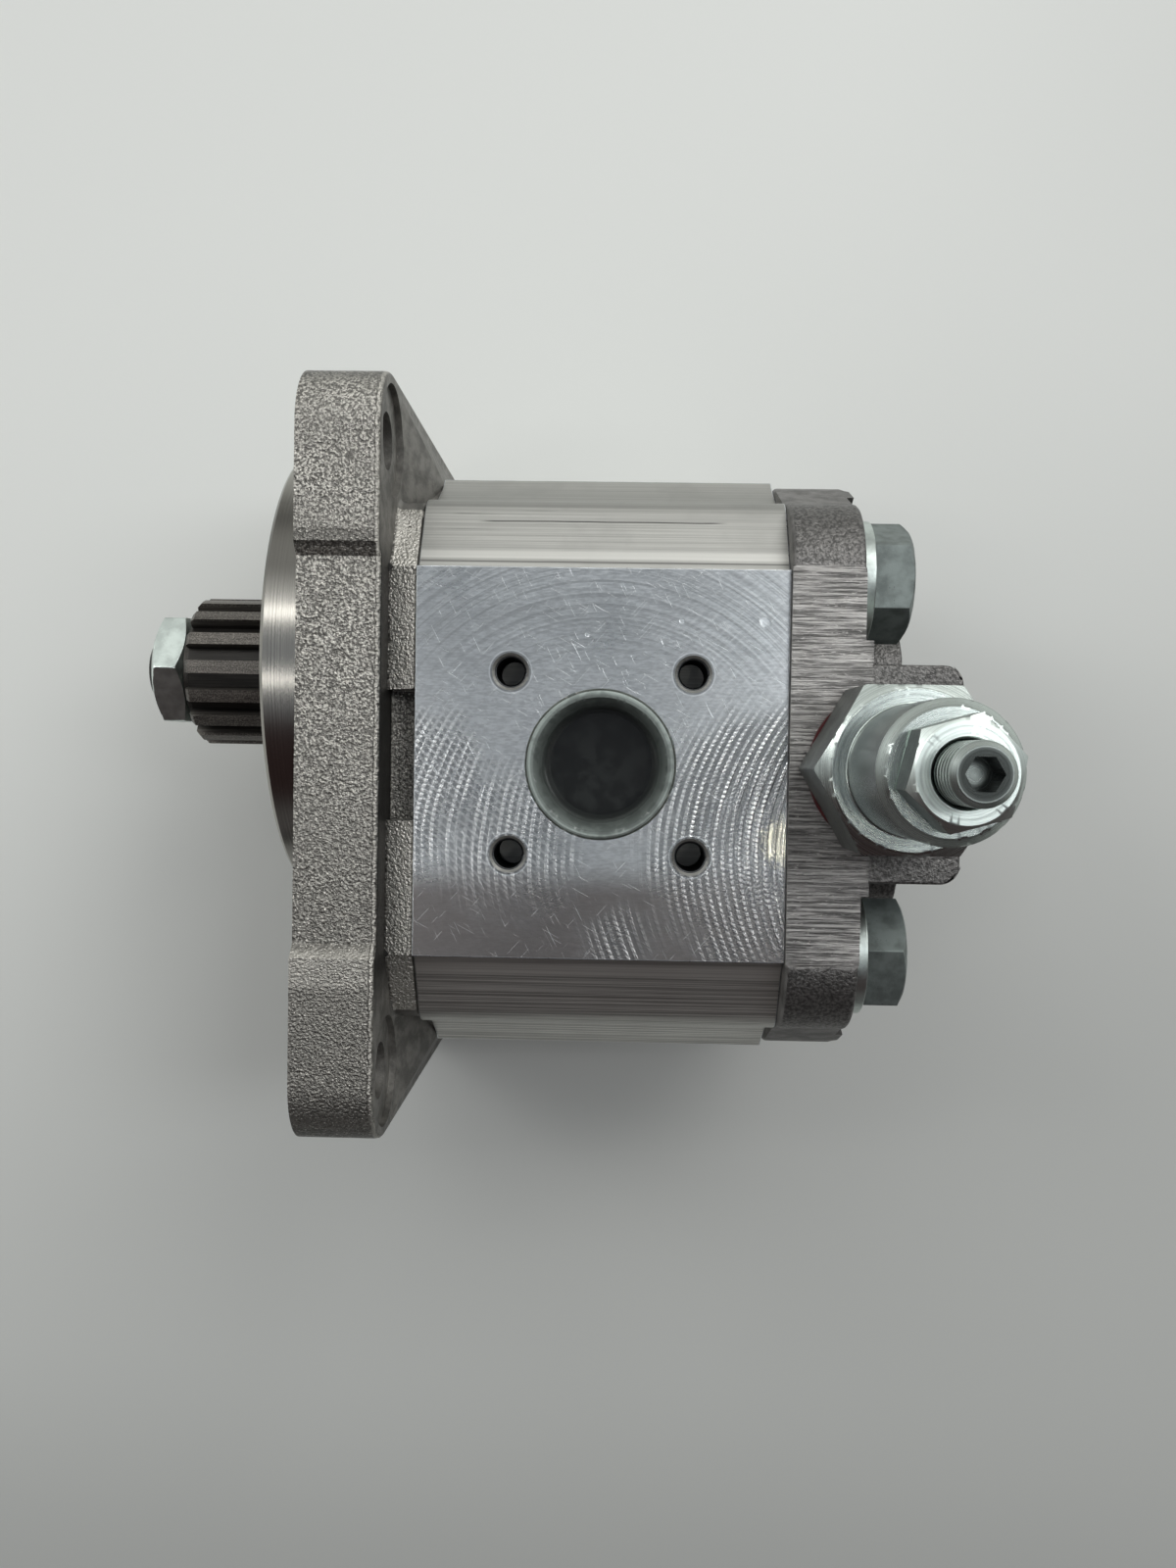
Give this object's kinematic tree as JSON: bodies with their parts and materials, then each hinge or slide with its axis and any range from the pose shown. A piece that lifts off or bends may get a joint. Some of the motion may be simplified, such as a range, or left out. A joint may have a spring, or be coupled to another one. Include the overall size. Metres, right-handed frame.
{
  "type": "hydraulic gear pump",
  "caption": "External gear pump with a square pilot flange, a splined shaft end, an extruded body with flange ports and a rear cover with an adjustable relief valve.",
  "frame": {"origin": "centre of the pilot, on the mounting face of the flange", "axes": "+X from the mounting face to the rear cover along the drive shaft, +Y from the driven gear to the drive gear, +Z out of the suction port"},
  "size_m": [0.142, 0.121, 0.1381],
  "materials": {
    "cast_iron": "coarse as-cast grain",
    "extruded_aluminium": "extruded sides, fly-cut port faces",
    "rear_cast_iron": "as cast, milled sides",
    "block_alloy": "machined",
    "bush_lining": "smooth bearing lining",
    "seal_rubber": "smooth",
    "backup_plastic": "smooth",
    "shaft_seal_rubber": "smooth",
    "bright_steel": "ground",
    "blued_steel": "phosphated",
    "bolt_steel": "dull zinc flake",
    "zinc_steel": "zinc plated, bright",
    "gear_steel": "ground",
    "phosphated_steel": "phosphated, worn lands",
    "dark_washer": "oiled steel",
    "zinc_nut": "zinc plated",
    "zinc_valve": "turned and zinc plated",
    "valve_seal_red": "smooth",
    "spring_steel": "drawn wire",
    "zinc_screw": "zinc plated thread",
    "zinc_lock_nut": "zinc plated",
    "clear_plastic": "translucent natural polyethylene"
  },
  "bodies": {
    "housing": {"front_cover": "cast_iron", "pump_body": "extruded_aluminium", "rear_cover": "rear_cast_iron", "front_bearing_block": "block_alloy", "rear_bearing_block": "block_alloy", "drive_front_bush": "bush_lining", "drive_rear_bush": "bush_lining", "driven_front_bush": "bush_lining", "driven_rear_bush": "bush_lining", "front_body_seal": "seal_rubber", "rear_body_seal": "seal_rubber", "front_pressure_seal": "seal_rubber", "rear_pressure_seal": "seal_rubber", "front_backup_ring": "backup_plastic", "rear_backup_ring": "backup_plastic", "shaft_seal": "shaft_seal_rubber", "seal_spring": "bright_steel", "seal_circlip": "blued_steel", "dowel_pins": "bright_steel", "cover_bolts": "bolt_steel", "bolt_washers": "zinc_steel", "valve_body": "zinc_valve", "valve_seal": "valve_seal_red", "valve_seat": "bright_steel", "valve_spring": "spring_steel"},
    "drive_train": {"drive_gear_shaft": "gear_steel", "splined_hub": "phosphated_steel", "hub_key": "bright_steel", "shaft_washer": "dark_washer", "shaft_nut": "zinc_nut"},
    "driven_train": {"driven_gear_shaft": "gear_steel"},
    "poppet": {"valve_poppet": "bright_steel"},
    "spring_carrier": {"spring_plate": "bright_steel", "plate_ring": "seal_rubber"},
    "adjuster": {"adjusting_screw": "zinc_screw"},
    "locking_nut": {"lock_nut": "zinc_lock_nut"},
    "suction_cap": {"suction_plug": "clear_plastic"},
    "pressure_cap": {"pressure_plug": "clear_plastic"}
  },
  "joints": [
    {"name": "drive_spin", "type": "hinge", "parent": "housing", "child": "drive_train", "pos_m": [0, 0, 0], "axis": [1, 0, 0], "continuous": true},
    {"name": "driven_spin", "type": "hinge", "parent": "housing", "child": "driven_train", "pos_m": [0, -0.032, 0], "axis": [1, 0, 0], "continuous": true},
    {"name": "poppet_lift", "type": "slide", "parent": "housing", "child": "poppet", "axis": [0, 0, 1], "range_m": [0, 0.002], "stiffness_N_per_m": 8000, "springref_m": -0.004, "deforming": ["valve_spring"]},
    {"name": "plate_travel", "type": "slide", "parent": "housing", "child": "spring_carrier", "axis": [0, 0, 1], "range_m": [-0.0025, 0.0025]},
    {"name": "adjuster_turn", "type": "hinge", "parent": "spring_carrier", "child": "adjuster", "pos_m": [0.0906, -0.016, 0], "axis": [0, 0, 1], "range_deg": [-720, 720]},
    {"name": "lock_nut_turn", "type": "hinge", "parent": "housing", "child": "locking_nut", "pos_m": [0.0906, -0.016, 0], "axis": [0, 0, 1], "range_deg": [0, 60]},
    {"name": "suction_plug_pull", "type": "slide", "parent": "housing", "child": "suction_cap", "axis": [0, 0, 1], "range_m": [0, 0.014]},
    {"name": "pressure_plug_pull", "type": "slide", "parent": "housing", "child": "pressure_cap", "axis": [0, 0, -1], "range_m": [0, 0.014]}
  ],
  "couplings": [
    {"joint": "driven_spin", "follows": "drive_spin", "ratio": -1},
    {"joint": "adjuster_turn", "follows": "plate_travel", "rad_per_m": 5026.5}
  ]
}
